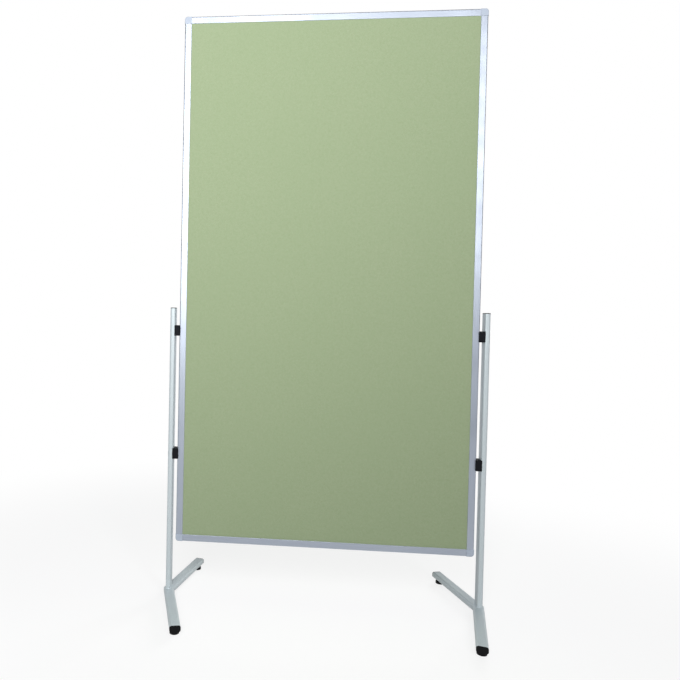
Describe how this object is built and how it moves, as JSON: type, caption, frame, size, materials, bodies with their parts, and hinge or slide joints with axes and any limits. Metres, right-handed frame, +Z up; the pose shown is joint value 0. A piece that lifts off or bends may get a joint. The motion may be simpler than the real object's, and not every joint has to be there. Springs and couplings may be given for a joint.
{
  "type": "room divider screen",
  "caption": "Free-standing divider: tall felt board in a silver aluminium frame, held by black brackets between tube uprights on V-shaped feet with levelling glides.",
  "frame": {"origin": "on the floor below the middle of the board", "axes": "+X to the right seen from the front, +Y to the rear, +Z up"},
  "size_m": [1.0822, 0.5558, 2.0008],
  "materials": {
    "anodised_aluminium": "satin",
    "grey_plastic": "satin",
    "sage_felt": "matte",
    "fibre_core": "matte",
    "silver_coated_steel": "satin",
    "black_plastic": "satin",
    "zinc_steel": "satin"
  },
  "bodies": {
    "screen": {"top_rail": "anodised_aluminium", "bottom_rail": "anodised_aluminium", "left_stile": "anodised_aluminium", "right_stile": "anodised_aluminium", "core_board": "fibre_core", "front_felt": "sage_felt", "rear_felt": "sage_felt", "lower_left_corner": "grey_plastic", "lower_right_corner": "grey_plastic", "upper_left_corner": "grey_plastic", "upper_right_corner": "grey_plastic", "left_upright": "silver_coated_steel", "left_upright_plug": "black_plastic", "left_lower_bracket": "black_plastic", "left_upper_bracket": "black_plastic", "right_upright": "silver_coated_steel", "right_upright_plug": "black_plastic", "right_lower_bracket": "black_plastic", "right_upper_bracket": "black_plastic", "bracket_bolts": "zinc_steel", "bracket_nuts": "zinc_steel", "access_plugs": "grey_plastic", "glide_nuts": "zinc_steel", "right_rear_arm": "silver_coated_steel", "right_rear_end_cap": "black_plastic", "right_front_arm": "silver_coated_steel", "right_front_end_cap": "black_plastic", "left_rear_arm": "silver_coated_steel", "left_rear_end_cap": "black_plastic", "left_front_arm": "silver_coated_steel", "left_front_end_cap": "black_plastic"},
    "right_rear_glide_pad": {"right_rear_glide_pad": "black_plastic"},
    "right_rear_glide_stud": {"right_rear_glide_stud": "zinc_steel"},
    "right_front_glide_pad": {"right_front_glide_pad": "black_plastic"},
    "right_front_glide_stud": {"right_front_glide_stud": "zinc_steel"},
    "left_rear_glide_pad": {"left_rear_glide_pad": "black_plastic"},
    "left_rear_glide_stud": {"left_rear_glide_stud": "zinc_steel"},
    "left_front_glide_pad": {"left_front_glide_pad": "black_plastic"},
    "left_front_glide_stud": {"left_front_glide_stud": "zinc_steel"}
  },
  "joints": [
    {"name": "right_rear_glide_lift", "type": "slide", "parent": "screen", "child": "right_rear_glide_pad", "axis": [0, 0, -1], "range_m": [0, 0.01]},
    {"name": "right_rear_glide_turn", "type": "hinge", "parent": "right_rear_glide_pad", "child": "right_rear_glide_stud", "pos_m": [0.4584, 0.24978, 0], "axis": [0, 0, -1], "range_deg": [0, 2880]},
    {"name": "right_front_glide_lift", "type": "slide", "parent": "screen", "child": "right_front_glide_pad", "axis": [0, 0, -1], "range_m": [0, 0.01]},
    {"name": "right_front_glide_turn", "type": "hinge", "parent": "right_front_glide_pad", "child": "right_front_glide_stud", "pos_m": [0.4584, -0.24978, 0], "axis": [0, 0, -1], "range_deg": [0, 2880]},
    {"name": "left_rear_glide_lift", "type": "slide", "parent": "screen", "child": "left_rear_glide_pad", "axis": [0, 0, -1], "range_m": [0, 0.01]},
    {"name": "left_rear_glide_turn", "type": "hinge", "parent": "left_rear_glide_pad", "child": "left_rear_glide_stud", "pos_m": [-0.4584, 0.24978, 0], "axis": [0, 0, -1], "range_deg": [0, 2880]},
    {"name": "left_front_glide_lift", "type": "slide", "parent": "screen", "child": "left_front_glide_pad", "axis": [0, 0, -1], "range_m": [0, 0.01]},
    {"name": "left_front_glide_turn", "type": "hinge", "parent": "left_front_glide_pad", "child": "left_front_glide_stud", "pos_m": [-0.4584, -0.24978, 0], "axis": [0, 0, -1], "range_deg": [0, 2880]}
  ],
  "couplings": [
    {"joint": "right_rear_glide_lift", "follows": "right_rear_glide_turn", "m_per_rad": 0.00019894},
    {"joint": "right_front_glide_lift", "follows": "right_front_glide_turn", "m_per_rad": 0.00019894},
    {"joint": "left_rear_glide_lift", "follows": "left_rear_glide_turn", "m_per_rad": 0.00019894},
    {"joint": "left_front_glide_lift", "follows": "left_front_glide_turn", "m_per_rad": 0.00019894}
  ]
}
